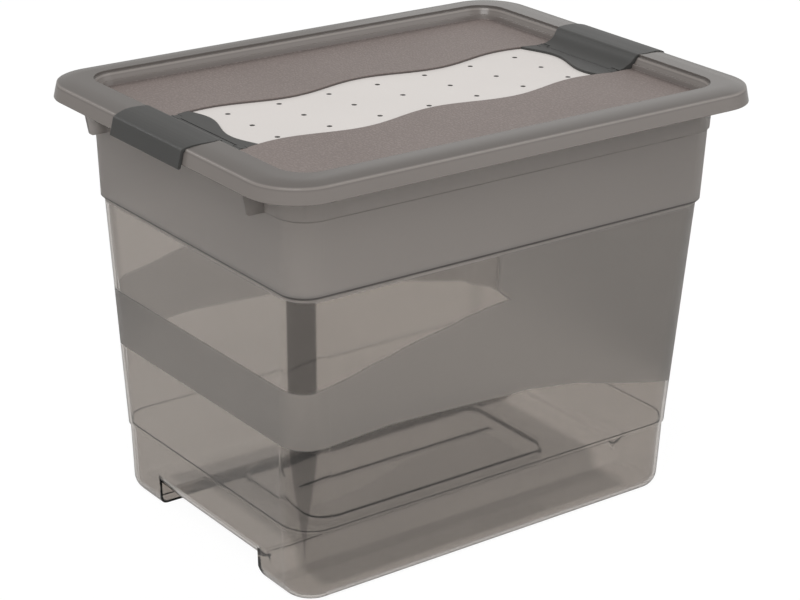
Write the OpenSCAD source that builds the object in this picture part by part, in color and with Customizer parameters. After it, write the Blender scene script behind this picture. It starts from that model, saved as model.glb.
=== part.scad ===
// Rectangular storage bin with a press-on lid, a pale wavy inlay strip and two hinged end clips.
// Millimetres. Origin at the middle of the footprint, X along the long side, Z up.

/* [Bin] */
// Length of the outer wall at the mouth
mouth_l = 346.2; // [300:0.2:360]
// Width of the outer wall at the mouth
mouth_w = 254.8; // [225:0.2:262]
// Corner radius of the wall at the mouth
mouth_r = 21; // [18:0.5:24]
// Height of the bin up to the top of its flange
bin_h = 294.6; // [250:0.2:340]
// Wall thickness of the bin
wall = 2.2; // [1.8:0.1:2.6]
// Draft of the walls
draft_deg = 2.45; // [1.8:0.05:2.6]
// Height below the flange at which the mouth starts to flare
flare_h = 7.6; // [6:0.2:9]
// How far the wall flares outwards at the mouth
flare_out = 2.9; // [2.2:0.1:4]

/* [Bin bands] */
// Distance from the flange to the underside of the matte upper band
band_h = 76.6; // [60:1:90]
// How far the wall steps in below the upper band
band_in = 1.6; // [1.2:0.1:2.4]
// Corner radius of the clear wall where it meets the upper band
clear_r = 19; // [17.5:0.5:21]
// Corner radius of the clear wall at the thin line
line_r = 24; // [22:0.5:28]
// Height of the thin line above the base
line_z = 51; // [42:1:70]
// How far the wall steps in below the line
line_in = 1.1; // [0.6:0.1:1.6]
// Distance from the flange to the lower edge of the corner collar
collar_h = 27.1; // [22:0.5:34]
// How far the collar stands out from the wall
collar_t = 1.3; // [0.8:0.1:2]

/* [Bin base] */
// Radius of the bottom edge, measured sideways
foot_rx = 8; // [6:0.5:10]
// Radius of the bottom edge, measured upwards
foot_rz = 11; // [8:0.5:13]
// Half width of the raised middle of the base, between the two runners
arch_half = 61.5; // [50:0.5:70]
// Height of the raised middle above the ground
arch_h = 14; // [9:0.5:18]
// How much the sides of the runners lean
arch_lean = 4; // [2:0.5:8]
// Radius of the upper edges of the runners' inner sides
arch_r = 6; // [3:0.5:8]
// Radius of the roll where the raised base meets the short walls
roll_r = 11; // [8:0.5:18]
// Length of the raised pad on the floor
pad_l = 206; // [160:2:230]
// Width of the raised pad on the floor
pad_w = 96; // [70:1:104]
// Height of the raised pad
pad_h = 3.8; // [3:0.2:6]
// Corner radius of the raised pad
pad_r = 18; // [10:1:24]
// Width of the groove along the middle of the pad
groove_w = 6; // [4:0.5:10]
// Depth of the groove
groove_d = 1.6; // [0.8:0.1:2]

/* [Flange] */
// Thickness of the flange and of its turned-down lip
flange_t = 2.2; // [1.8:0.1:2.6]
// Height of the turned-down lip
lip_h = 9; // [7:0.5:9.5]
// Distance of each grip fin from the middle of the short side
fin_y = 94; // [80:1:98]
// Thickness of a grip fin
fin_t = 2.2; // [1.6:0.1:3]
// How much the outer edge of a fin slants
fin_slant = 3; // [1:0.5:5]
// Radius of the lower outer corner of a fin
fin_r = 2.5; // [1:0.5:4]

/* [Lid] */
// Overall length of the lid at the foot of its skirt
lid_l = 395; // [393:0.5:410]
// Overall width of the lid at the foot of its skirt
lid_w = 295; // [293:0.5:310]
// Corner radius at the foot of the skirt
lid_r = 36; // [33:1:40]
// Thickness of the lid
lid_t = 2.2; // [1.8:0.1:2.4]
// Height of the outer skirt, from its foot to the crest of the rim
skirt_h = 11.9; // [11:0.1:14]
// How far the skirt leans in from its foot to its top edge
skirt_lean = 2; // [1:0.1:3]
// Width of the rounded outer part of the rim
crown_w = 16; // [14:0.5:17]
// How far the rounded part of the rim falls towards the skirt
crown_drop = 1.9; // [1:0.1:2.4]
// Free space between the skirt and the flange of the bin
skirt_gap = 2.7; // [2.2:0.1:3.4]
// Depth of the flat panel below the crest of the rim
panel_drop = 9.6; // [8.5:0.1:10.5]
// How far the inner edge of the rim lies inside the wall of the bin
rim_in = 0.9; // [0.6:0.1:1.4]
// How far the inner wall of the rim leans in towards the panel
plug_lean = 5.4; // [4.5:0.1:6]

/* [Wavy channel] */
// Half width of the wavy channel along the lid
wave_half = 41.5; // [36:0.5:42]
// Height of the waves
wave_amp = 5; // [2:0.5:6]
// Length of one wave
wave_len = 122; // [90:1:160]
// Place of a wave crest along the lid
wave_shift = -3; // [-20:1:20]
// Depth of the strip's face below the panel
strip_drop = 1.6; // [1:0.1:2]
// Thickness of the strip
strip_t = 1.6; // [1.2:0.1:2]
// Distance from the middle of the lid to the curved end of the strip
strip_end = 141; // [134:0.5:143]
// Swing of the curved end of the strip
end_amp = 5; // [2:0.5:6]
// Length of the curve along the end of the strip
end_len = 81; // [70:1:100]

/* [Vents] */
// Vent holes along the strip
vent_cols = 7; // [3:1:7]
// Rows of vent holes
vent_rows = 3; // [1:1:3]
// Distance between vent holes along the strip
vent_dx = 40; // [30:0.5:41]
// Distance between the rows
vent_dy = 29; // [20:0.5:30]
// Radius of a vent hole in the strip
vent_r = 1.75; // [1.2:0.05:2.2]

/* [Clips] */
// Half width of a clip at its cove and at its flap
wing_half = 41; // [40:0.5:42]
// How much wider a clip is at its crest, on each side
crest_wide = 3; // [1:0.5:5]
// Thickness of a clip over the rim
clip_t = 2.3; // [2:0.1:2.6]
// Radius of the hollow curve from the panel up to the crest
cove_r = 17; // [16:0.5:18]
// Thickness of the hollow curve
cove_t = 2; // [1.6:0.1:2.4]
// Thickness of the side cheeks under the hollow curve
cheek_t = 2; // [1.2:0.1:2.5]
// How far the lid's wall is thinned behind a clip
seat_in = 1.4; // [1:0.1:1.6]
// Thickness of the flap
flap_t = 2.2; // [1.8:0.1:2.6]
// How far the flap reaches below the skirt
flap_drop = 2.5; // [2:0.1:4]
// Half width of the hook under the flap
hook_half = 33; // [24:0.5:34]
// Thickness of the hook
hook_t = 2; // [1.4:0.1:2.2]
// Radius of the hinge pins
pin_r = 1; // [0.8:0.05:1.1]
// Radius of the hinge barrel
barrel_r = 1.6; // [1.5:0.05:1.7]
// Half length of the hinge barrel
barrel_half = 33; // [28:0.5:33]
// Length of each hinge pin beyond the barrel
pin_len = 5.9; // [4:0.1:6.2]
// Distance of the hinge from the foot of the rim's inner wall
hinge_back = 12.3; // [12:0.1:12.8]

/* [Clearances] */
// Running clearance of a hinge pin in its ear, on the radius
pin_gap = 0.05; // [0.03:0.01:0.09]
// Space between parts that move past each other
move_gap = 0.4; // [0.3:0.05:0.5]
// Space between the lid and the flange it sits on
seat_gap = 0.3; // [0.2:0.05:0.4]
// Space around the strip and the hinge plates in the channel
inlay_gap = 0.25; // [0.15:0.05:0.4]

/* [Hidden] */
$fn = 96;
eps = 0.01;
over = 40;

// Bin, worked out from the sizes above
mouth_hl = mouth_l / 2;
mouth_hw = mouth_w / 2;
slope = tan(draft_deg);
flare_z = bin_h - flare_h;
band_z = bin_h - band_h;
collar_z = bin_h - collar_h;
clear_hl = mouth_hl - slope * (flare_z - band_z) - band_in;
clear_hw = mouth_hw - slope * (flare_z - band_z) - band_in;
base_hl = clear_hl - slope * (band_z - line_z) - line_in;
base_hw = clear_hw - slope * (band_z - line_z) - line_in;
base_r = line_r - line_in;
floor_z = arch_h + wall;
roll_x = base_hl - slope * (line_z - arch_h - roll_r) - roll_r;

// The corners of the clear wall are leaning cones that widen towards the base
corner_grow = (line_r - clear_r) / (band_z - line_z);
corner_lean = slope + corner_grow;
corner_tilt = atan(corner_lean * sqrt(2));
corner_cone = asin(corner_grow / sqrt((1 + slope * slope) * (1 + 2 * corner_lean * corner_lean)));

// Lid, worked out from the bin
lid_hl = lid_l / 2;
lid_hw = lid_w / 2;
flange_in = skirt_lean + lid_t + skirt_gap;
flange_hl = lid_hl - flange_in;
flange_hw = lid_hw - flange_in;
flange_r = lid_r - flange_in;
deck_z = bin_h + seat_gap;
deck_top = deck_z + lid_t;
crest_z = deck_top + clip_t;
skirt_z = crest_z - skirt_h;
panel_z = crest_z - panel_drop;
channel_z = panel_z - strip_drop - strip_t;
rim_hl = mouth_hl - rim_in;
rim_hw = mouth_hw - rim_in;
rim_r = mouth_r - rim_in;
foot_x = rim_hl - plug_lean;
plug_slope = plug_lean / panel_drop;

// Hinge and clip, worked out from the lid
hinge_x = foot_x - hinge_back;
hinge_z = channel_z + barrel_r + seat_gap;
ear_r = barrel_r + 0.2;
ear_y = barrel_half + move_gap;
bay_x = hinge_x - 4.5;
bay_half = wing_half + move_gap;
clip_z = deck_top + move_gap;
clip_top = clip_z + clip_t;
crest_x = rim_hl + crown_w / 2;
rim_w = lid_hl - rim_hl;
bend_x = lid_hl - min(11.3, 0.45 * rim_w);
bend_slope = 0.2;
flap_z = skirt_z - flap_drop;
flap_in = lid_hl - skirt_lean + 0.6;
flap_lean = skirt_lean / (deck_top - skirt_z);
flap_foot = flap_in + flap_lean * (deck_top - flap_z);
hook_x = max(flange_hl, mouth_hl) + 0.9;
notch_x = hook_x - 1.9;

function arc(cx, cz, rx, rz, from, to, steps) =
    [for (i = [0:steps]) let (a = from + (to - from) * i / steps) [cx + rx * cos(a), cz + rz * sin(a)]];

function wave(x) = wave_amp * cos(360 * (x - wave_shift) / wave_len);
function end_curve(y) = strip_end + end_amp * sin(360 * (y + end_amp) / end_len);

// Sweeps a section around a rounded rectangle. Its x is the distance outwards from the outline.
module around(hl, hw, r) {
    for (q = [0:3]) {
        half = q % 2 == 0 ? hl : hw;
        run = 2 * ((q % 2 == 0 ? hw : hl) - r);
        rotate([0, 0, 90 * q])
            translate([half, run / 2, 0]) rotate([90, 0, 0]) linear_extrude(run) children();
        translate([(q == 0 || q == 3 ? 1 : -1) * (hl - r), (q < 2 ? 1 : -1) * (hw - r), 0])
            rotate([0, 0, 90 * q]) rotate_extrude(angle = 90) translate([r, 0]) children();
    }
}

module rounded(hl, hw, r) {
    square([2 * hl, 2 * (hw - r)], center = true);
    square([2 * (hl - r), 2 * hw], center = true);
    for (sx = [-1, 1], sy = [-1, 1]) translate([sx * (hl - r), sy * (hw - r)]) circle(r);
}

// A solid of rounded rectangles stacked along a drafted side. The section reaches in to the corner centres.
module bulk(hl, hw, r, z0, z1, side) {
    around(hl, hw, r) polygon(concat([[-r, z0]], side, [[-r, z1]]));
    translate([r - hl, r - hw, z0]) cube([2 * (hl - r), 2 * (hw - r), z1 - z0]);
}

// Upper part of the bin, up to its flared mouth. The inner face uses inset = wall.
module upper_bulk(inset, top) {
    band = band_z + 0.7 * inset;
    at = -slope * (flare_z - band) - inset;
    bulk(mouth_hl, mouth_hw, mouth_r, band - band_in, top, [
        [at - band_in, band - band_in],
        [at, band],
        [-inset, flare_z],
        [flare_out - inset, bin_h],
        [flare_out - inset, top]]);
}

// A block along Y with sides that lean from half width h0 at z0 to h1 at z1
module leaning(h0, z0, h1, z1) {
    rotate([90, 0, 0]) linear_extrude(2 * lid_w, center = true)
        polygon([[-h0, z0], [h0, z0], [h1, z1], [-h1, z1]]);
}

// Clear middle part of the bin, from the thin line to the upper band
module clear_bulk(inset) {
    z0 = line_z + 0.7 * inset;
    z1 = band_z - band_in / 2 + 0.7 * inset;
    h0 = slope * (z0 - band_z) - inset;
    h1 = slope * (z1 - band_z) - inset;
    r0 = clear_r - inset + corner_grow * (band_z - z0);
    r1 = clear_r - inset + corner_grow * (band_z - z1);
    intersection() {
        leaning(clear_hl + h0 - r0, z0, clear_hl + h1 - r1, z1);
        rotate([0, 0, 90]) leaning(clear_hw + h0, z0, clear_hw + h1, z1);
    }
    intersection() {
        leaning(clear_hl + h0, z0, clear_hl + h1, z1);
        rotate([0, 0, 90]) leaning(clear_hw + h0 - r0, z0, clear_hw + h1 - r1, z1);
    }
    intersection() {
        translate([-lid_l, -lid_w, z0]) cube([2 * lid_l, 2 * lid_w, z1 - z0]);
        for (mx = [0, 1], my = [0, 1]) mirror([mx, 0, 0]) mirror([0, my, 0]) corner(inset);
    }
}

// One rounded corner of the clear part, a shade fuller than the flat walls beside it
module corner(inset) {
    up = (clear_r - inset) / corner_grow;
    near = (up - 6) / cos(corner_tilt);
    far = (up + band_z - line_z + 6) / cos(corner_tilt);
    translate([clear_hl - inset + slope * up, clear_hw - inset + slope * up, band_z + up])
        rotate([0, 180 + corner_tilt, 45]) translate([0, 0, near]) cylinder(
            h = far - near, r1 = near * tan(corner_cone) + 2 * eps, r2 = far * tan(corner_cone) + 2 * eps);
}

// Lowest part of the bin, from its rounded bottom edge to the thin line
module base_bulk(inset) {
    foot = -slope * (line_z - foot_rz);
    top = line_z + wall + 1;
    bulk(base_hl, base_hw, base_r, inset, top, concat(
        arc(foot - foot_rx, foot_rz, foot_rx - inset, foot_rz - inset, -90, 0, 8),
        [[-inset, line_z], [-inset, top]]));
}

// The space under the raised middle of the base. grow makes the matching hump inside the bin.
module arch(grow) {
    half = arch_half + grow;
    top = arch_h + grow;
    r = arch_r + grow;
    translate([-lid_hl, 0, 0]) rotate([90, 0, 90]) linear_extrude(2 * lid_hl)
        polygon(concat(
            [[-half - arch_lean, -over], [-half - arch_lean, 0]],
            arc(-half + r, top - r, r, r, 170, 90, 4),
            arc(half - r, top - r, r, r, 90, 10, 4),
            [[half + arch_lean, 0], [half + arch_lean, -over]]));
    for (side = [0, 180]) rotate([0, 0, side])
        translate([0, half, 0]) rotate([90, 0, 0]) linear_extrude(2 * half) difference() {
            translate([roll_x, 0]) square([over, arch_h + roll_r]);
            translate([roll_x, arch_h + roll_r]) circle(roll_r - grow);
        }
}

module floor_pad() {
    translate([0, 0, floor_z - eps]) linear_extrude(pad_h + eps) rounded(pad_l / 2, pad_w / 2, pad_r);
}

module fin() {
    out = flange_hl - flange_t / 2;
    foot = out - fin_slant;
    low = collar_z + collar_t / 2;
    rotate([90, 0, 0]) linear_extrude(fin_t, center = true) polygon(concat(
        [[mouth_hl - wall, low]],
        arc(foot - fin_r, low + fin_r, fin_r, fin_r, -90, -10, 4),
        [[out, bin_h - lip_h], [out, bin_h - flange_t / 2], [mouth_hl - wall, bin_h - flange_t / 2]]));
}

module collar() {
    at = -slope * (flare_z - collar_z);
    difference() {
        around(mouth_hl, mouth_hw, mouth_r) polygon([
            [at - wall / 2, collar_z], [at, collar_z], [at + collar_t, collar_z + collar_t],
            [collar_t, flare_z], [flare_out, bin_h - flange_t / 2], [-wall / 2, bin_h - flange_t / 2]]);
        cube([2 * lid_l, 2 * fin_y, 3 * bin_h], center = true);
    }
}

module flange() {
    translate([0, 0, bin_h - flange_t]) linear_extrude(flange_t) rounded(flange_hl, flange_hw, flange_r);
    translate([0, 0, bin_h - lip_h]) linear_extrude(lip_h) difference() {
        rounded(flange_hl, flange_hw, flange_r);
        rounded(flange_hl - flange_t, flange_hw - flange_t, flange_r - flange_t);
    }
}

module tub() {
    color([0.50, 0.47, 0.44, 0.55]) difference() {
        union() {
            upper_bulk(0, bin_h);
            clear_bulk(0);
            base_bulk(0);
            flange();
            collar();
            for (sx = [0, 180], y = [-fin_y, fin_y]) rotate([0, 0, sx]) translate([0, y, 0]) fin();
        }
        difference() {
            union() {
                upper_bulk(wall, bin_h + 1);
                clear_bulk(wall);
                base_bulk(wall);
            }
            arch(wall);
            floor_pad();
        }
        arch(0);
        translate([0, 0, arch_h - 1]) linear_extrude(pad_h + 1)
            rounded(pad_l / 2 - wall, pad_w / 2 - wall, pad_r - wall);
        translate([0, 0, floor_z + pad_h]) cube([pad_l - 2 * pad_r, groove_w, 2 * groove_d], center = true);
    }
}

// Plan of the wavy channel between two places along the lid
module wavy_plan(from, to, gap) {
    steps = 2 * ceil((to - from) / 12);
    xs = [for (i = [0:steps]) from + (to - from) * i / steps];
    polygon(concat(
        [for (x = xs) [x, wave_half - gap + wave(x)]],
        [for (i = [steps:-1:0]) [xs[i], -wave_half + gap + wave(xs[i])]]));
}

module channel_plan(grow) {
    wavy_plan(-bay_x - eps, bay_x + eps, -grow);
    for (s = [-1, 1]) translate([s * (bay_x + foot_x) / 2, 0])
        square([foot_x - bay_x + 2 * grow, 2 * (bay_half + grow)], center = true);
}

// Everything beyond the curved end of the strip
module beyond_end(gap) {
    steps = 24;
    reach = wave_half + wave_amp + 4;
    polygon(concat(
        [for (i = [0:steps]) let (y = -reach + 2 * reach * i / steps) [end_curve(y) + gap, y]],
        [[lid_hl, reach], [lid_hl, -reach]]));
}

module vents(r) {
    for (i = [0:vent_cols - 1], j = [0:vent_rows - 1])
        translate([(i - (vent_cols - 1) / 2) * vent_dx, (j - (vent_rows - 1) / 2) * vent_dy, 0])
            cylinder(r = r, h = bin_h + over);
}

// Half width of a clip along X: a straight cove and flap, and a wider crest between them
function clip_edge(x) = let (u = (x - crest_x) / (crown_w + 1))
    wing_half + crest_wide * pow(max(0, 1 - u * u), 1.5);

// Plan of a clip, wider by gap for the seat it lies in
module clip_plan(gap) {
    steps = 16;
    xs = [for (i = [0:steps]) crest_x + (crown_w + 1) * (2 * i / steps - 1)];
    polygon(concat(
        [[0, wing_half + gap]], [for (x = xs) [x, clip_edge(x) + gap]],
        [[lid_hl + over, wing_half + gap], [lid_hl + over, -wing_half - gap]],
        [for (i = [steps:-1:0]) [xs[i], -clip_edge(xs[i]) - gap]], [[0, -wing_half - gap]]));
}

module rim_section() {
    r = (pow(crown_w - skirt_lean - 1, 2) + pow(crown_drop, 2)) / (2 * crown_drop);
    half = asin((crown_w - skirt_lean - 1) / r);
    polygon(concat(
        [[-lid_t, skirt_z], [0, skirt_z], [-skirt_lean, crest_z - crown_drop - 1.1],
         [-skirt_lean - 0.25, crest_z - crown_drop - 0.35]],
        arc(-crown_w, crest_z - r, r, r, 90 - half, 90, 6),
        [[-crown_w, crest_z - lid_t], [-skirt_lean - lid_t - 2.4, crest_z - lid_t - 1],
         [-skirt_lean - lid_t, crest_z - lid_t - crown_drop]]));
}

// Inner wall of the rim with its two thin ledges
module plug_section() {
    polygon([
        [0, crest_z], [0, crest_z - 1.7], [-1.2, crest_z - 1.9],
        [-plug_lean * 0.66, panel_z + 3.4], [-plug_lean * 0.66 - 1.2, panel_z + 3.3],
        [-plug_lean - 0.2, panel_z + 0.2], [-plug_lean - 0.9, panel_z],
        [-plug_lean - 0.9, panel_z - lid_t], [lid_t + 0.1 - plug_lean, panel_z - lid_t],
        [lid_t + 0.1, crest_z - lid_t], [lid_t + 0.1, crest_z]]);
}

module lid() {
    color([0.50, 0.47, 0.45]) difference() {
        union() {
            around(lid_hl, lid_hw, lid_r) rim_section();
            translate([0, 0, crest_z - lid_t]) linear_extrude(lid_t) difference() {
                rounded(lid_hl - crown_w + eps, lid_hw - crown_w + eps, lid_r - crown_w);
                rounded(rim_hl + eps, rim_hw + eps, rim_r);
            }
            around(rim_hl, rim_hw, rim_r) plug_section();
            translate([0, 0, panel_z - lid_t]) linear_extrude(lid_t)
                rounded(foot_x - 0.5, rim_hw - plug_lean - 0.5, rim_r - plug_lean);
            translate([0, 0, channel_z - lid_t]) linear_extrude(panel_z - channel_z) channel_plan(lid_t - 0.4);
            for (side = [0, 180]) rotate([0, 0, side]) saddle();
        }
        translate([0, 0, channel_z]) linear_extrude(over) channel_plan(0);
        for (side = [0, 180]) rotate([0, 0, side]) {
            seat_cut();
            translate([notch_x, -hook_half - 5 * move_gap, skirt_z - over])
                cube([over, 2 * hook_half + 10 * move_gap, deck_top + over]);
        }
        vents(vent_r + 0.5);
    }
}

// Lowered part of the rim that a clip lies on
module saddle() {
    out = lid_hl - skirt_lean - 1;
    intersection() {
        translate([0, lid_hw, 0]) rotate([90, 0, 0]) linear_extrude(lid_w) polygon([
            [rim_hl, deck_z], [flange_hl + seat_gap, deck_z], [flange_hl + seat_gap, deck_z - 1.3],
            [out, deck_z - 1.3], [out, deck_top + 0.3], [rim_hl, deck_top + 0.3]]);
        translate([0, 0, skirt_z]) linear_extrude(over) clip_plan(lid_t);
    }
}

// Room for a clip over the lowered rim and in front of its inner wall
module seat_cut() {
    far = lid_hl + over / 2;
    intersection() {
        translate([0, lid_hw, 0]) rotate([90, 0, 0]) linear_extrude(lid_w) polygon([
            [bay_x + 1, channel_z],
            [foot_x + seat_in - plug_slope * (panel_z - channel_z), channel_z],
            [foot_x + seat_in + plug_slope * (deck_top - panel_z), deck_top],
            [bend_x, deck_top], [far, deck_top - bend_slope * (far - bend_x)],
            [far, crest_z + over], [bay_x + 1, crest_z + over]]);
        translate([0, 0, skirt_z - over]) linear_extrude(3 * over) clip_plan(move_gap);
    }
}

module wave_strip() {
    color([0.84, 0.82, 0.80]) difference() {
        translate([0, 0, channel_z]) linear_extrude(strip_t) difference() {
            wavy_plan(-bay_x, bay_x, inlay_gap);
            for (side = [0, 180]) rotate([0, 0, side]) beyond_end(-inlay_gap / 2);
        }
        vents(vent_r);
    }
}

// Plan of both hinge plates, before the curved end of the strip is cut out
module plate_plan() {
    wavy_plan(-bay_x + inlay_gap, bay_x - inlay_gap, inlay_gap);
    for (s = [-1, 1]) {
        translate([s * bay_x, 0]) square([2, 2 * (wave_half - wave_amp)], center = true);
        translate([s * (bay_x + inlay_gap + hinge_x) / 2, 0])
            square([hinge_x - bay_x - inlay_gap, 2 * (bay_half - inlay_gap)], center = true);
    }
}

// Fixed plate with the two ears that a clip turns in
module hinge_plate(side) {
    ear = bay_half - inlay_gap - ear_y;
    difference() {
        union() {
            rotate([0, 0, side]) translate([0, 0, channel_z]) linear_extrude(panel_z - channel_z)
                intersection() {
                    rotate([0, 0, side]) plate_plan();
                    beyond_end(inlay_gap / 2);
                }
            rotate([0, 0, side]) for (s = [-1, 1])
                translate([hinge_x, s * (ear_y + ear / 2), hinge_z]) rotate([90, 0, 0])
                    cylinder(r = ear_r, h = ear, center = true);
        }
        rotate([0, 0, side]) {
            translate([hinge_x - barrel_r - move_gap, -ear_y, channel_z - 1])
                cube([over, 2 * ear_y, over]);
            translate([hinge_x, 0, hinge_z]) rotate([90, 0, 0])
                cylinder(r = pin_r + pin_gap, h = 2 * (barrel_half + pin_len + move_gap), center = true);
        }
    }
}

// Outer skin of a clip's section: the crest over the rim, then the flap, down and back up inside
function clip_skin() = let (under = clip_z - bend_slope * (flap_in - bend_x), k = min(1, rim_w / 25)) [
    [rim_hl - 1.9, clip_top - 0.85], [rim_hl - 0.4, clip_top - 0.35], [rim_hl + 3.8 * k, clip_top - 0.1],
    [lid_hl - 14.3 * k, clip_top], [lid_hl - 10.1 * k, clip_top - 0.15], [lid_hl - 7.1 * k, clip_top - 0.5],
    [lid_hl - 4.4 * k, clip_top - 1], [lid_hl - 2.2 * k, clip_top - 1.6], [lid_hl - 0.4 * k, clip_top - 2.4],
    [flap_in + flap_t - 0.4, clip_top - 3.2], [flap_in + flap_t, clip_top - 4.2],
    [flap_foot + flap_t, flap_z + 0.5], [flap_foot + flap_t - 0.5, flap_z],
    [flap_foot, flap_z], [flap_in + flap_lean * (deck_top - under + 0.5), under - 0.5],
    [flap_in - 0.3, under + 0.3 * bend_slope], [bend_x, clip_z]];

// Section of a clip. A shell in the middle, or full for the cheeks at its sides.
module clip_section(full) {
    cove_x = hinge_x + 0.5;
    cove_z = hinge_z + barrel_r + cove_r;
    rise = asin((clip_top - 1.4 - cove_z) / cove_r);
    back = asin((clip_z - cove_z) / (cove_r + cove_t));
    wall_x = foot_x + seat_in - move_gap * 1.2;
    low = channel_z + move_gap;
    polygon(concat(
        [[hinge_x, hinge_z], [hinge_x - 0.2 * barrel_r, hinge_z + 0.97 * barrel_r]],
        arc(cove_x, cove_z, cove_r, cove_r, -87, rise, 12),
        clip_skin(),
        full ? [[wall_x + plug_slope * (clip_z - panel_z), clip_z],
                [wall_x - plug_slope * (panel_z - low) - 0.2, low], [hinge_x + barrel_r, low]]
             : arc(cove_x, cove_z, cove_r + cove_t, cove_r + cove_t, back, -87, 12)));
}

module clip(side) {
    rotate([0, 0, side]) {
        difference() {
            intersection() {
                union() {
                    rotate([90, 0, 0]) linear_extrude(lid_w, center = true) clip_section(false);
                    for (s = [-1, 1]) translate([0, s * (wing_half - cheek_t + over / 2), 0])
                        rotate([90, 0, 0]) linear_extrude(over, center = true) clip_section(true);
                }
                translate([0, 0, skirt_z - over]) linear_extrude(3 * over) clip_plan(0);
            }
            for (s = [-1, 1]) translate([hinge_x, s * (barrel_half + over / 2), hinge_z])
                rotate([90, 0, 0]) cylinder(r = ear_r + 0.5, h = over, center = true);
        }
        translate([hinge_x, 0, hinge_z]) rotate([90, 0, 0]) {
            cylinder(r = barrel_r, h = 2 * barrel_half, center = true);
            cylinder(r = pin_r, h = 2 * (barrel_half + pin_len), center = true);
        }
        translate([hook_x, -hook_half, flap_z])
            cube([flap_foot + flap_t / 2 - hook_x, 2 * hook_half, hook_t]);
    }
}

module hinge_plate_right() { color([0.31, 0.31, 0.30]) hinge_plate(0); }
module hinge_plate_left() { color([0.31, 0.31, 0.30]) hinge_plate(180); }
module clip_right() { color([0.30, 0.30, 0.29]) clip(0); }
module clip_left() { color([0.30, 0.30, 0.29]) clip(180); }

tub();
lid();
wave_strip();
hinge_plate_left();
hinge_plate_right();
clip_left();
clip_right();
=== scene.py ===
"""Finishes and stage for a lidded storage bin.

The tub is smoky clear plastic with a frosted wave, the lid is grained, its wavy strip is pale and
its clips are dark. All lengths are in metres.
"""

import math

import bpy
from bpy.props import FloatProperty, FloatVectorProperty, PointerProperty
from mathutils import Matrix, Vector

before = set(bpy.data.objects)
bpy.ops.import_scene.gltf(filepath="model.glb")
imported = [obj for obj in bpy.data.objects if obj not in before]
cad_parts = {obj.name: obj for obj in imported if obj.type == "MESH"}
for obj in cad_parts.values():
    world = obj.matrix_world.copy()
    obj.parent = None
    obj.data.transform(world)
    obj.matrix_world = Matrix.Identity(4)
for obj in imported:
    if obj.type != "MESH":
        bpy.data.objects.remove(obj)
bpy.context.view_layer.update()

bl_info = {
    "name": "Storage bin finishes",
    "version": (1, 0, 0),
    "blender": (4, 5, 0),
    "location": "View3D > Sidebar > Bin",
    "description": "Moulded plastic finishes, floor, lamps and camera for a lidded storage bin",
    "category": "Material",
}

# Matte upper band of the tub: the heights over which it starts, the height of the painted shade
# line along its step, and how far from there the line fades
BAND_START = (0.2138, 0.2150)
STEP_Z, STEP_FADE = 0.2178, (0.0006, 0.0010)

# Frosted wave: (place along the bin, height) of its lower and upper edges, which lie within
# WAVE_SPAN and WAVE_HEIGHTS, and how softly each edge starts
WAVE_SPAN = (-0.160, 0.160)
WAVE_HEIGHTS = (0.060, 0.240)
WAVE_LOW = (
    (-0.160, 0.1115), (-0.149, 0.1124), (-0.109, 0.1150), (-0.086, 0.1156), (-0.010, 0.1123),
    (0.029, 0.1100), (0.078, 0.1007), (0.149, 0.0845), (0.160, 0.0820),
)
WAVE_TOP = (
    (-0.160, 0.1515), (-0.150, 0.1535), (-0.118, 0.1600), (-0.088, 0.1670), (-0.044, 0.1750),
    (-0.024, 0.1790), (0.000, 0.1813),
)
WAVE_LOW_SOFT, WAVE_TOP_SOFT = 0.0006, 0.0009
# Right of WAVE_TIP the wave reaches up to the band. Its left edge there leans to the left by
# TIP_LEAN over the heights TIP_RISE
WAVE_TIP, TIP_SOFT = -0.001, 0.002
TIP_RISE, TIP_LEAN = (0.179, 0.192), 0.011

# Bands of painted shade down the tub's corners. CORNER_OFFSET is half of how much longer the long
# walls are than the short ones, and CORNER_HALF is half the width of a band along a wall. The pairs
# are the heights over which the bands start, widen, and darken by CORNER_GAIN. The back corners
# have BACK_SHARE of the painted shade
CORNER_OFFSET = 0.0457
CORNER_HALF, CORNER_SOFT = 0.0125, 0.001
CORNER_START, CORNER_WIDEN, CORNER_DARKEN = (0.028, 0.036), (0.026, 0.120), (0.06, 0.15)
CORNER_SHADE, CORNER_GAIN, BACK_SHARE = 0.5, 0.45, 0.3

# Floor of the tub: half its length and width, how softly it ends there, the heights over which
# its tint ends, and the tints of the floor and of the base around it
FLOOR_HALF, FLOOR_SOFT, FLOOR_TOP = (0.134, 0.100), (0.010, 0.006), (0.024, 0.028)
FLOOR_TINT, BASE_TINT = 0.5, 0.03

# Painted shade on the clear wall where it is seen at a slant, nearly edge on, and along the band's
# step.
# The pairs are turns away from the eye, where 0 faces it and 1 is edge on
SLANT, SLANT_SHADE = (0.25, 0.55), 0.08
EDGE_ON, EDGE_ON_SHADE = (0.66, 0.95), 0.8
STEP_SHADE = 0.8
WALL_IOR = 1.49

# Lid: the panel's height, half its length and width, and how softly it ends. The panel's finish
# ends over the heights PANEL_TOP, and painted shade darkens gaps in it from GAP_TOP down
PANEL_Z, PANEL_HALF, PANEL_SOFT = 0.2898, (0.1672, 0.1218), (0.001, 0.001)
PANEL_TOP = (PANEL_Z + 0.0004, PANEL_Z + 0.0008)
GAP_TOP = (PANEL_Z - 0.0007, PANEL_Z - 0.0004)
# Rim around the panel: the painted shade at its foot, the height of the painted highlight along its
# bend, and where the painted shade on its crest starts
FOOT_WIDTH, FOOT_HEIGHT = 0.007, 0.0075
RIM_BEND_Z, RIM_BEND_FADE = 0.2968, (0.0003, 0.0010)
CREST_START = (0.2945, 0.2975)
BLACK = (0, 0, 0)

# Vent holes of the strip, whose walls get painted shade: their steps along and across the bin, and
# just over their radius
VENT_STEP = (0.040, 0.029)
VENT_R, VENT_SOFT = 0.00178, 0.00015

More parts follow.
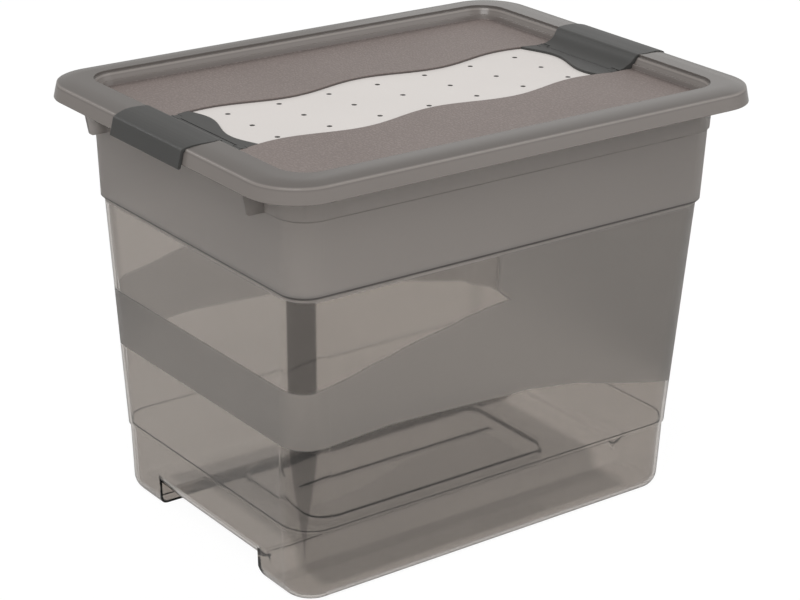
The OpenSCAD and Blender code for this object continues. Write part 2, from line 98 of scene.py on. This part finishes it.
# The photograph's camera: its lens and sensor in millimetres, the turns of its view, and how far
# back, to the right and up it stands from AIM
LENS, SENSOR = 103.185, 36
YAW, ELEVATION, ROLL = math.radians(-36.87), math.radians(21.99), math.radians(0.94)
AIM = Vector((0, 0, 0.150))
DISTANCE, SIDE, LIFT = 1.585, 0.0003, -0.009
NEAREST, FARTHEST = 0.05, 50

# Lamps: name, the stage value that holds the power, width and place
LAMPS = (
    ("key lamp", "key", 1.6, (-1.5, -1.4, 2.0)),
    ("fill lamp", "fill", 1.8, (1.9, -1.5, 1.2)),
    ("back lamp", "back", 1.2, (1.7, 1.5, 1.1)),
    ("right rim lamp", "rim", 0.5, (1.25, -0.6, 1.9)),
    ("left rim lamp", "rim", 0.5, (-0.75, 1.7, 1.5)),
)

# Surroundings and floor. The floor lies just under the runners. GLOW_SHARE of what is seen of it
# is a white glow, and the rest is lit and carries the bin's shadow
SKY_COLOUR = (1, 0.99, 0.97)
WHITE = (1, 1, 1)
FLOOR_WIDTH, FLOOR_Z = 12, -0.0002
GLOW_SHARE, GLOW_STRENGTH = 0.9, 1.07


def srgb(red, green, blue):
    """A screen colour from 0 to 255 as the linear colour that Blender mixes."""
    return tuple(
        c / 12.92 if c <= 0.04045 else ((c + 0.055) / 1.055) ** 2.4
        for c in (red / 255, green / 255, blue / 255)
    )


class Signal:
    """One output of a shader node. Arithmetic on it adds Math nodes."""

    def __init__(self, shader, out):
        self.shader = shader
        self.out = out

    def __add__(self, other):
        return self.shader.maths("ADD", self, other)

    __radd__ = __add__

    def __sub__(self, other):
        return self.shader.maths("SUBTRACT", self, other)

    def __rsub__(self, other):
        return self.shader.maths("SUBTRACT", other, self)

    def __mul__(self, other):
        return self.shader.maths("MULTIPLY", self, other)

    __rmul__ = __mul__

    def __truediv__(self, other):
        return self.shader.maths("DIVIDE", self, other)

    def __abs__(self):
        return self.shader.maths("ABSOLUTE", self)

    def __gt__(self, other):
        return self.shader.maths("GREATER_THAN", self, other)

    def larger(self, other):
        return self.shader.maths("MAXIMUM", self, other)

    def hypot(self, other):
        """The length of a vector with these two parts at right angles."""
        return self.shader.maths("SQRT", self * self + other * other)

    def from_nearest(self, step):
        """The distance to the nearest whole multiple of step."""
        return abs(self.shader.maths("WRAP", self, -step / 2, step / 2))

    def ramp_up(self, start, end):
        """0 below start, 1 above end, with a soft step between."""
        return self.shader.node(
            "ShaderNodeMapRange",
            {"interpolation_type": "SMOOTHSTEP"},
            {"Value": self, "From Min": start, "From Max": end},
        )

    def ramp_down(self, start, end):
        """1 below start, 0 above end, with a soft step between."""
        return 1 - self.ramp_up(start, end)


class Shader:
    """The nodes of a new material or world."""

    def __init__(self, owner):
        owner.use_nodes = True
        self.owner = owner
        self.tree = owner.node_tree
        self.tree.nodes.clear()

    def node(self, kind, settings=None, inputs=None, out=0):
        """Adds a node, sets it up, fills its inputs and returns one of its outputs."""
        made = self.tree.nodes.new(kind)
        for key, value in (settings or {}).items():
            if key == "stops":
                self.set_stops(made.color_ramp, value)
            elif key == "interpolation":
                made.color_ramp.interpolation = value
            else:
                setattr(made, key, value)
        for key, value in (inputs or {}).items():
            socket = made.inputs[key]
            if isinstance(value, Signal):
                self.tree.links.new(value.out, socket)
            elif socket.type == "RGBA":
                socket.default_value = (*value, 1)
            else:
                socket.default_value = value
        return Signal(self, made.outputs[out])

    @staticmethod
    def set_stops(ramp, stops):
        while len(ramp.elements) < len(stops):
            ramp.elements.new(1.0)
        for element, (position, grey) in zip(ramp.elements, stops):
            element.position = position
            element.color = (grey, grey, grey, 1)

    def maths(self, operation, *terms):
        """A Math node on these terms."""
        return self.node("ShaderNodeMath", {"operation": operation}, dict(enumerate(terms)))

    def vector_maths(self, operation, inputs):
        """A Vector Math node with these inputs."""
        return self.node("ShaderNodeVectorMath", {"operation": operation}, inputs)

    def mix(self, factor, first, second):
        """A colour from first at factor 0 to second at factor 1."""
        settings = {"data_type": "RGBA", "clamp_factor": True}
        return self.node("ShaderNodeMix", settings, {"Factor": factor, 6: first, 7: second}, 2)

    def layered(self, factor, under, over):
        """Shader under at factor 0, shader over at factor 1."""
        return self.node("ShaderNodeMixShader", {}, {0: factor, 1: under, 2: over})

    def seen_by_camera(self):
        """1 for what the camera sees, straight or through the clear walls."""
        straight = self.node("ShaderNodeLightPath", out="Is Camera Ray")
        through = self.node("ShaderNodeLightPath", out="Is Transmission Ray")
        return straight.larger(through)

    def finish(self, surface, end="ShaderNodeOutputMaterial"):
        """Ends the nodes in a shader."""
        self.tree.links.new(surface.out, self.tree.nodes.new(end).inputs["Surface"])
        return self.owner


class Plastic(Shader):
    """A procedural plastic, laid out in the place on the object."""

    def __init__(self, name):
        super().__init__(bpy.data.materials.new(name))
        self.place = self.node("ShaderNodeTexCoord", out="Object")
        split = self.node("ShaderNodeSeparateXYZ", {}, {"Vector": self.place})
        outputs = split.out.node.outputs
        self.x, self.y, self.z = (Signal(self, outputs[axis]) for axis in "XYZ")

    def noise(self, scale, detail, roughness, place=None):
        inputs = {"Scale": scale, "Detail": detail, "Roughness": roughness}
        return self.node("ShaderNodeTexNoise", {}, {"Vector": place or self.place, **inputs})

    def stretched(self, *scales):
        """The place on the object, scaled along each axis."""
        return self.vector_maths("MULTIPLY", {0: self.place, 1: scales})

    def shaken(self, scale, reach):
        """The place on the object, pushed about by noise of this scale."""
        noise = self.node("ShaderNodeTexNoise", {}, {"Vector": self.place, "Scale": scale}, "Color")
        push = self.vector_maths("SCALE", {0: noise, "Scale": reach})
        return self.vector_maths("ADD", {0: self.place, 1: push})

    def within(self, half, soft):
        """1 inside a rectangle of these half sizes, and 0 from its edges on."""
        (half_x, half_y), (soft_x, soft_y) = half, soft
        return (half_x - abs(self.x)).ramp_up(0, soft_x) * (half_y - abs(self.y)).ramp_up(0, soft_y)

    def bump(self, height, strength, distance, edge=0.0):
        """A normal that follows height, over edges rounded by a radius of edge."""
        inputs = {"Height": height, "Strength": strength, "Distance": distance}
        if edge:
            inputs["Normal"] = self.node("ShaderNodeBevel", {"samples": 6}, {"Radius": edge})
        return self.node("ShaderNodeBump", {}, inputs)

    def body(self, **sockets):
        """A Principled shader. Its sockets are named with underscores."""
        inputs = {name.replace("_", " "): value for name, value in sockets.items()}
        return self.node("ShaderNodeBsdfPrincipled", {}, inputs)

    def dress(self, surface, *nodes):
        """Ends the material in a shader and gives it to CAD nodes."""
        material = self.finish(surface)
        for name in nodes:
            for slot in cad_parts[name].material_slots:
                slot.material = material


def colour(name, description, default):
    """A property that holds a colour."""
    return FloatVectorProperty(
        name=name, description=description, subtype="COLOR", size=3, min=0, max=1, default=default
    )


def power(name, description, default):
    """A property that holds a lamp's power in watts."""
    return FloatProperty(name=name, description=description, unit="POWER", min=0, default=default)


class BinColours(bpy.types.PropertyGroup):
    """The colours of the bin's plastics"""

    clear: colour("Clear wall", "What the clear wall lets through", (0.53, 0.497, 0.468))
    frosted: colour("Frosted wave", "What the frosted wave lets through", (0.47, 0.443, 0.42))
    band: colour("Upper band", "What the matte upper band lets through", (0.48, 0.447, 0.425))
    lid: colour("Lid panel", "Grained plastic of the lid's panel", srgb(141, 129, 125))
    rim: colour("Lid rim", "Smooth plastic of the lid's rim", srgb(130, 124, 120))
    strip: colour("Strip", "Pale plastic of the inlay strip", srgb(226, 221, 218))
    clip: colour("Clips", "Dark plastic of the clips and hinge plates", srgb(69, 69, 68))


class StageValues(bpy.types.PropertyGroup):
    """Floor, lamps and world"""

    floor: colour("Floor", "Colour of the floor", (0.6, 0.6, 0.6))
    key: power("Key lamp", "Power of the key lamp", 31)
    fill: power("Fill lamp", "Power of the fill lamp", 8)
    back: power("Back lamp", "Power of the back lamp", 1.5)
    rim: power("Rim lamps", "Power of each rim lamp", 4)
    sky: FloatProperty(
        name="Sky", description="Strength of the light from all round", min=0, default=0.54
    )


def wave_edge(wall, points):
    """The height of one edge of the frosted wave at each place along the bin."""
    (left, right), (lowest, highest) = WAVE_SPAN, WAVE_HEIGHTS
    stops = [
        ((x - left) / (right - left), (z - lowest) / (highest - lowest)) for x, z in points
    ]
    curve = wall.node(
        "ShaderNodeValToRGB",
        {"interpolation": "CARDINAL", "stops": stops},
        {"Fac": (wall.x - left) / (right - left)},
    )
    return curve * (highest - lowest) + lowest


def frosted_wave(wall):
    """1 on the frosted wave: above its lower edge, and below its upper edge or past its tip."""
    above = (wall.z - wave_edge(wall, WAVE_LOW)).ramp_up(-WAVE_LOW_SOFT, WAVE_LOW_SOFT)
    below = (wave_edge(wall, WAVE_TOP) - wall.z).ramp_up(-WAVE_TOP_SOFT, WAVE_TOP_SOFT)
    lean = wall.z.ramp_up(*TIP_RISE) * TIP_LEAN
    past_tip = (wall.x - WAVE_TIP + lean).ramp_up(-TIP_SOFT, TIP_SOFT)
    return above * below.larger(past_tip)


def painted_corner_shade(wall):
    """Painted shade down the tub's upright corners, less at the back."""
    from_diagonal = abs(abs(wall.x) - abs(wall.y) - CORNER_OFFSET)
    half = CORNER_HALF * wall.z.ramp_up(*CORNER_WIDEN)
    band = (from_diagonal - half).ramp_down(-CORNER_SOFT, CORNER_SOFT)
    tint = CORNER_SHADE + CORNER_GAIN * wall.z.ramp_up(*CORNER_DARKEN)
    share = 1 - (1 - BACK_SHARE) * (wall.y > 0)
    return band * wall.z.ramp_up(*CORNER_START) * tint * share


def base_tone(wall):
    """How much darker the tub's floor is, and less so the base around it."""
    floor = wall.within(FLOOR_HALF, FLOOR_SOFT)
    return wall.z.ramp_down(*FLOOR_TOP) * (BASE_TINT + floor * FLOOR_TINT)


class BIN_OT_tub(bpy.types.Operator):
    """Smoky clear plastic with a frosted wave and a fine matte upper band"""

    bl_idname = "bin.tub"
    bl_label = "Finish the tub"

    def execute(self, context):
        values = context.scene.bin_colours
        wall = Plastic("smoky plastic")
        band = wall.z.ramp_up(*BAND_START)
        wave = frosted_wave(wall) * (1 - band)
        # Painted shade line along the band's step
        step = abs(wall.z - STEP_Z).ramp_down(*STEP_FADE)
        # Painted shade where the wall is seen at a slant and nearly edge on
        away = wall.node("ShaderNodeLayerWeight", {}, {"Blend": 0.5}, "Facing")
        slant_shade = away.ramp_up(*SLANT)
        edge_on_shade = away.ramp_up(*EDGE_ON)
        grain = wall.noise(2600, detail=3, roughness=0.6)
        cloud = wall.noise(9, detail=3, roughness=0.5)
        streaks = wall.noise(30, detail=4, roughness=0.6, place=wall.stretched(1, 1, 0.08))
        tone = (cloud - 0.5) * 0.2 + 0.1
        turned_shade = edge_on_shade * EDGE_ON_SHADE + slant_shade * SLANT_SHADE
        # Painted shade down the corners, at a slant, edge on and along the step, plus the floor's
        # darker tone
        painted_shade_and_floor_tone = painted_corner_shade(wall) + base_tone(wall) + turned_shade + step * STEP_SHADE
        clear = wall.body(
            Base_Color=wall.mix(tone * 0.2 + painted_shade_and_floor_tone, values.clear, values.clear * 0.3),
            Roughness=0.05 + (streaks - 0.5) * 0.04,
            Transmission_Weight=1.0,
            IOR=WALL_IOR,
        )
        # The frosted wave is darkened by painted shade where it is seen at a slant
        frosted = wall.body(
            Base_Color=wall.mix(tone * 0.25 + slant_shade * 0.45, values.frosted, values.frosted * 0.6),
            Roughness=0.4 + (cloud - 0.5) * 0.1,
            Transmission_Weight=0.85,
            IOR=WALL_IOR,
        )
        # The matte band carries the painted shade line along its step
        matte = wall.body(
            Base_Color=wall.mix(tone * 0.1 + step * 0.9, values.band, values.band * 0.2),
            Roughness=0.45 + (cloud - 0.5) * 0.1,
            Transmission_Weight=0.7,
            Normal=wall.bump(grain, strength=0.15, distance=0.0002),
            IOR=WALL_IOR,
        )
        wall.dress(wall.layered(band, wall.layered(wave, clear, frosted), matte), "tub")
        return {"FINISHED"}


def rim_with_painted_light(lid, values):
    """Smooth plastic with painted shade on the crest and a painted highlight along its bend."""
    crest_shade = lid.z.ramp_up(*CREST_START)
    bend_highlight = abs(lid.z - RIM_BEND_Z).ramp_down(*RIM_BEND_FADE)
    return lid.mix(bend_highlight * 0.6, lid.mix(crest_shade * 0.4, values.rim, BLACK), values.rim * 1.6)


def rim_foot_shade(lid):
    """Painted shade: 1 low on the rim's inner wall and beside it on the panel."""
    half_x, half_y = PANEL_HALF
    around = lid.within((half_x + FOOT_WIDTH, half_y + FOOT_WIDTH), PANEL_SOFT)
    middle = lid.within(PANEL_HALF, (FOOT_WIDTH, FOOT_WIDTH))
    return around * (1 - middle) * lid.z.ramp_down(PANEL_Z, PANEL_Z + FOOT_HEIGHT)


class BIN_OT_lid(bpy.types.Operator):
    """Warm grey plastic: satin on the rim, leather-like grain on the panel"""

    bl_idname = "bin.lid"
    bl_label = "Finish the lid"

    def execute(self, context):
        values = context.scene.bin_colours
        lid = Plastic("lid plastic")
        panel = lid.z.ramp_down(*PANEL_TOP) * lid.within(PANEL_HALF, PANEL_SOFT)
        # Painted shade in the gaps below the panel's top
        gap_shade = lid.z.ramp_down(*GAP_TOP) * panel
        cells = lid.node(
            "ShaderNodeTexVoronoi",
            {"feature": "DISTANCE_TO_EDGE"},
            {"Vector": lid.shaken(240, reach=0.0018), "Scale": 420},
        )
        leather = cells.ramp_up(0.02, 0.28)
        fine = lid.noise(2400, detail=3, roughness=0.6)
        cloud = lid.noise(14, detail=3, roughness=0.5)
        # Painted shade in the creases of the grain
        crease_shade = (1 - leather) * panel
        # Painted shade in the creases, the gaps and along the rim's foot, over a tone that differs
        # at random
        shade = crease_shade * 0.32 + (cloud - 0.5) * 0.2 + 0.05 + gap_shade * 1.2 + rim_foot_shade(lid) * 0.5
        plain = lid.mix(panel, rim_with_painted_light(lid, values), values.lid)
        height = leather * panel + fine * 0.12
        surface = lid.body(
            Base_Color=lid.mix(shade, plain, values.lid * 0.4),
            Roughness=0.22 + panel * 0.28 + (cloud - 0.5) * 0.06,
            Normal=lid.bump(height, strength=0.5, distance=0.00025, edge=0.0006),
        )
        lid.dress(surface, "lid")
        return {"FINISHED"}


class BIN_OT_strip(bpy.types.Operator):
    """Pale fine-grained plastic of the vented strip"""

    bl_idname = "bin.strip"
    bl_label = "Finish the strip"

    def execute(self, context):
        values = context.scene.bin_colours
        strip = Plastic("pale plastic")
        fine = strip.noise(1500, detail=3, roughness=0.6)
        cloud = strip.noise(18, detail=2, roughness=0.5)
        step_x, step_y = VENT_STEP
        from_vent = strip.x.from_nearest(step_x).hypot(strip.y.from_nearest(step_y))
        # Painted shade on the walls of the vent holes
        vent_shade = from_vent.ramp_down(VENT_R, VENT_R + VENT_SOFT)
        tone = (fine - 0.5) * 0.25 + (cloud - 0.5) * 0.2 + 0.1
        pale = strip.mix(tone, values.strip, values.strip * 0.75)
        surface = strip.body(
            Base_Color=strip.mix(vent_shade, pale, values.strip * 0.2),
            Roughness=0.5 + (cloud - 0.5) * 0.1,
            Normal=strip.bump(fine, strength=0.2, distance=0.0002, edge=0.0004),
        )
        strip.dress(surface, "wave_strip")
        return {"FINISHED"}


class BIN_OT_clips(bpy.types.Operator):
    """Dark satin plastic of the clips and their hinge plates"""

    bl_idname = "bin.clips"
    bl_label = "Finish the clips"

    def execute(self, context):
        values = context.scene.bin_colours
        clip = Plastic("dark clip plastic")
        fine = clip.noise(1800, detail=3, roughness=0.6)
        rubs = clip.noise(60, detail=5, roughness=0.65, place=clip.stretched(1, 0.15, 1))
        cloud = clip.noise(20, detail=2, roughness=0.5)
        surface = clip.body(
            Base_Color=clip.mix((cloud - 0.5) * 0.3 + 0.1, values.clip, values.clip * 0.6),
            Roughness=0.42 + (rubs - 0.5) * 0.08,
            Specular_IOR_Level=0.35,
            Normal=clip.bump(fine, strength=0.18, distance=0.0002, edge=0.0008),
        )
        clip.dress(surface, "clip_left", "clip_right", "hinge_plate_left", "hinge_plate_right")
        return {"FINISHED"}


def place_camera():
    """Sets up the photograph's camera."""
    level = math.cos(ELEVATION)
    back = Vector((math.sin(YAW) * level, -math.cos(YAW) * level, math.sin(ELEVATION)))
    right = Vector((math.cos(YAW), math.sin(YAW), 0))
    up = back.cross(right)
    rolled_right = right * math.cos(ROLL) + up * math.sin(ROLL)
    rolled_up = up * math.cos(ROLL) - right * math.sin(ROLL)
    turn = Matrix((rolled_right, rolled_up, back)).transposed().to_4x4()
    place = AIM + back * DISTANCE + right * SIDE + up * LIFT
    camera = bpy.data.objects.new("camera", bpy.data.cameras.new("camera"))
    bpy.context.scene.collection.objects.link(camera)
    camera.data.lens = LENS
    camera.data.sensor_width = SENSOR
    camera.data.clip_start, camera.data.clip_end = NEAREST, FARTHEST
    camera.matrix_world = Matrix.Translation(place) @ turn
    bpy.context.scene.camera = camera


def add_lamp(name, watts, width, place):
    """A square lamp that faces AIM."""
    lamp = bpy.data.objects.new(name, bpy.data.lights.new(name, "AREA"))
    lamp.data.energy = watts
    lamp.data.shape = "SQUARE"
    lamp.data.size = width
    bpy.context.scene.collection.objects.link(lamp)
    lamp.location = place
    lamp.rotation_mode = "QUATERNION"
    lamp.rotation_quaternion = (Vector(place) - AIM).to_track_quat("Z", "Y")


def make_surroundings(strength):
    """Soft light from all round, and plain white where it is seen."""
    sky = Shader(bpy.data.worlds.new("surroundings"))
    soft = sky.node("ShaderNodeBackground", {}, {"Color": SKY_COLOUR, "Strength": strength})
    white = sky.node("ShaderNodeBackground", {}, {"Color": WHITE, "Strength": 1})
    surface = sky.layered(sky.seen_by_camera(), soft, white)
    bpy.context.scene.world = sky.finish(surface, "ShaderNodeOutputWorld")


def make_floor(tint):
    """A pale floor that carries the bin's shadow, and glows near white where it is seen."""
    bpy.ops.mesh.primitive_plane_add(size=FLOOR_WIDTH, location=(0, 0, FLOOR_Z))
    floor = bpy.context.object
    floor.name = "floor"
    pale = Shader(bpy.data.materials.new("pale floor"))
    matte = pale.node("ShaderNodeBsdfDiffuse", {}, {"Color": tint})
    glow = pale.node("ShaderNodeEmission", {}, {"Color": WHITE, "Strength": GLOW_STRENGTH})
    surface = pale.layered(pale.seen_by_camera() * GLOW_SHARE, matte, glow)
    floor.data.materials.append(pale.finish(surface))


class BIN_OT_stage(bpy.types.Operator):
    """Pale floor, white surroundings, soft lamps and the camera"""

    bl_idname = "bin.stage"
    bl_label = "Set the stage"

    def execute(self, context):
        values = context.scene.bin_stage
        bpy.context.scene.view_settings.view_transform = "Standard"
        place_camera()
        for name, value, width, place in LAMPS:
            add_lamp(name, getattr(values, value), width, place)
        make_surroundings(values.sky)
        make_floor(values.floor)
        return {"FINISHED"}


class BIN_PT_finishes(bpy.types.Panel):
    """Lists the bin's finishes and the stage"""

    bl_idname = "BIN_PT_finishes"
    bl_label = "Storage bin"
    bl_space_type = "VIEW_3D"
    bl_region_type = "UI"
    bl_category = "Bin"

    def draw(self, context):
        for group in (context.scene.bin_colours, context.scene.bin_stage):
            for name in group.bl_rna.properties.keys():
                if name not in {"rna_type", "name"}:
                    self.layout.prop(group, name)
        for operator in OPERATORS:
            self.layout.operator(operator.bl_idname)


OPERATORS = (BIN_OT_tub, BIN_OT_lid, BIN_OT_strip, BIN_OT_clips, BIN_OT_stage)
CLASSES = (BinColours, StageValues, *OPERATORS, BIN_PT_finishes)


def register():
    for cls in CLASSES:
        bpy.utils.register_class(cls)
    bpy.types.Scene.bin_colours = PointerProperty(type=BinColours)
    bpy.types.Scene.bin_stage = PointerProperty(type=StageValues)


def unregister():
    del bpy.types.Scene.bin_stage
    del bpy.types.Scene.bin_colours
    for cls in reversed(CLASSES):
        bpy.utils.unregister_class(cls)


def main():
    register()
    bpy.ops.bin.tub()
    bpy.ops.bin.lid()
    bpy.ops.bin.strip()
    bpy.ops.bin.clips()
    bpy.ops.bin.stage()


if __name__ == "__main__":
    main()
